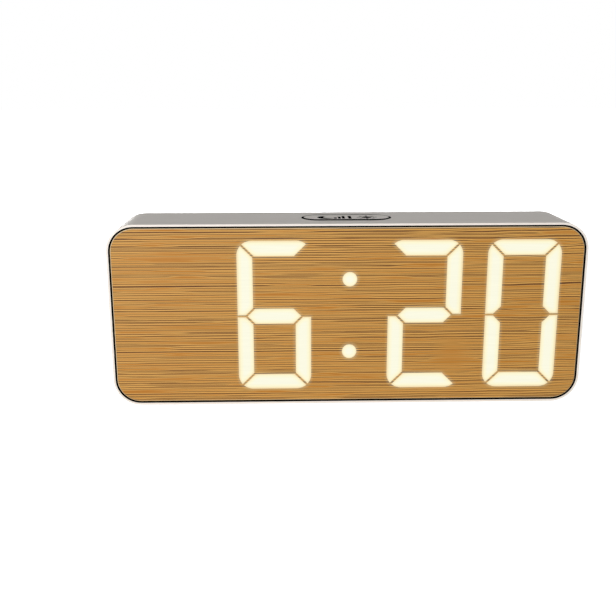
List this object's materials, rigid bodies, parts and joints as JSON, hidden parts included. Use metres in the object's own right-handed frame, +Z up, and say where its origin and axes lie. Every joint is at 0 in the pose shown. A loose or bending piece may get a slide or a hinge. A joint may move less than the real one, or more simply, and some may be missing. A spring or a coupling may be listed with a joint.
{
  "type": "digital led desk clock",
  "caption": "Desk clock: wide white case, bamboo-faced panel lit from behind by segment LED figures, snooze key on top, and keys, power inlet and battery bay at the back.",
  "frame": {"origin": "middle of the footprint, on the surface the foot pads stand on", "axes": "+X to the right seen from the front, +Y from the lit panel to the back, +Z up"},
  "size_m": [0.162, 0.028, 0.064],
  "materials": {
    "white_abs": "fine satin moulded ABS",
    "cover_abs": "fine spark-eroded moulded ABS",
    "key_abs": "satin moulded ABS with pad-printed marks",
    "bamboo_film": "matt film printed with a bamboo grain",
    "lit_film": "bamboo film with light behind it",
    "clear_acrylic": "polished clear acrylic",
    "black_tape": "matt black foam",
    "diffuser_sheet": "milky sheet",
    "reflector_white": "white moulded ABS",
    "circuit_board": "green solder mask",
    "led_chip": "resin-filled chip",
    "chip_epoxy": "black moulded epoxy",
    "zinc_steel": "zinc plated",
    "switch_body": "black moulded nylon",
    "switch_plunger": "red moulded nylon",
    "buzzer_case": "black moulded case",
    "crystal_can": "drawn nickel silver",
    "capacitor_sleeve": "sleeved aluminium can",
    "connector_black": "black moulded nylon",
    "cell_sleeve": "plain printed sleeve on a steel can",
    "contact_nickel": "nickel-plated spring strip",
    "lead_red": "PVC insulation",
    "lead_black": "PVC insulation",
    "lead_white": "PVC insulation",
    "usb_shell": "folded tinned steel",
    "foot_rubber": "soft matt rubber"
  },
  "bodies": {
    "case": {"housing": "white_abs", "panel_gasket": "black_tape", "front_panel": "clear_acrylic", "bamboo_film": "bamboo_film", "lit_segments": "lit_film", "diffuser_sheet": "diffuser_sheet", "segment_reflector": "reflector_white", "display_board": "circuit_board", "segment_leds": "led_chip", "display_board_screws": "zinc_steel", "rear_cover": "cover_abs", "rear_cover_screws": "zinc_steel", "main_board": "circuit_board", "main_board_screws": "zinc_steel", "snooze_switch": "switch_body", "snooze_board": "circuit_board", "snooze_board_screws": "zinc_steel", "alarm_switch": "switch_body", "usb_socket_shell": "usb_shell", "usb_socket_tongue": "connector_black", "buzzer": "buzzer_case", "controller_chip": "chip_epoxy", "driver_chip": "chip_epoxy", "timing_crystal": "crystal_can", "smoothing_capacitors": "capacitor_sleeve", "board_socket": "connector_black", "board_plug": "connector_black", "battery_contacts_left": "contact_nickel", "battery_contacts_right": "contact_nickel", "battery_lead_red": "lead_red", "battery_lead_black": "lead_black", "snooze_lead": "lead_white", "set_key_switch": "switch_body", "down_key_switch": "switch_body", "up_key_switch": "switch_body", "alarm_key_switch": "switch_body", "battery_cell_1": "cell_sleeve", "battery_cell_2": "cell_sleeve", "battery_cell_3": "cell_sleeve", "foot_pad_front_left": "foot_rubber", "foot_pad_front_right": "foot_rubber", "foot_pad_rear_left": "foot_rubber", "foot_pad_rear_right": "foot_rubber"},
    "snooze_key": {"snooze_key": "key_abs", "snooze_switch_plunger": "switch_plunger"},
    "alarm_lever": {"alarm_switch_lever": "key_abs"},
    "battery_door": {"battery_door": "cover_abs"},
    "set_key": {"set_key": "key_abs", "set_key_plunger": "switch_plunger"},
    "down_key": {"down_key": "key_abs", "down_key_plunger": "switch_plunger"},
    "up_key": {"up_key": "key_abs", "up_key_plunger": "switch_plunger"},
    "alarm_key": {"alarm_key": "key_abs", "alarm_key_plunger": "switch_plunger"}
  },
  "joints": [
    {"name": "snooze_key_press", "type": "slide", "parent": "case", "child": "snooze_key", "axis": [0, 0, -1], "range_m": [0, 0.0006], "stiffness_N_per_m": 1500, "springref_m": -0.0004},
    {"name": "set_key_press", "type": "slide", "parent": "case", "child": "set_key", "axis": [0, -1, 0], "range_m": [0, 0.0005], "stiffness_N_per_m": 2000, "springref_m": -0.0003},
    {"name": "down_key_press", "type": "slide", "parent": "case", "child": "down_key", "axis": [0, -1, 0], "range_m": [0, 0.0005], "stiffness_N_per_m": 2000, "springref_m": -0.0003},
    {"name": "up_key_press", "type": "slide", "parent": "case", "child": "up_key", "axis": [0, -1, 0], "range_m": [0, 0.0005], "stiffness_N_per_m": 2000, "springref_m": -0.0003},
    {"name": "alarm_key_press", "type": "slide", "parent": "case", "child": "alarm_key", "axis": [0, -1, 0], "range_m": [0, 0.0005], "stiffness_N_per_m": 2000, "springref_m": -0.0003},
    {"name": "alarm_switch_slide", "type": "slide", "parent": "case", "child": "alarm_lever", "axis": [1, 0, 0], "range_m": [0, 0.003]},
    {"name": "battery_door_tilt", "type": "hinge", "parent": "case", "child": "battery_door", "pos_m": [-0.0406, 0.0134, 0.04528], "axis": [1, 0, 0], "range_deg": [0, 60]}
  ]
}
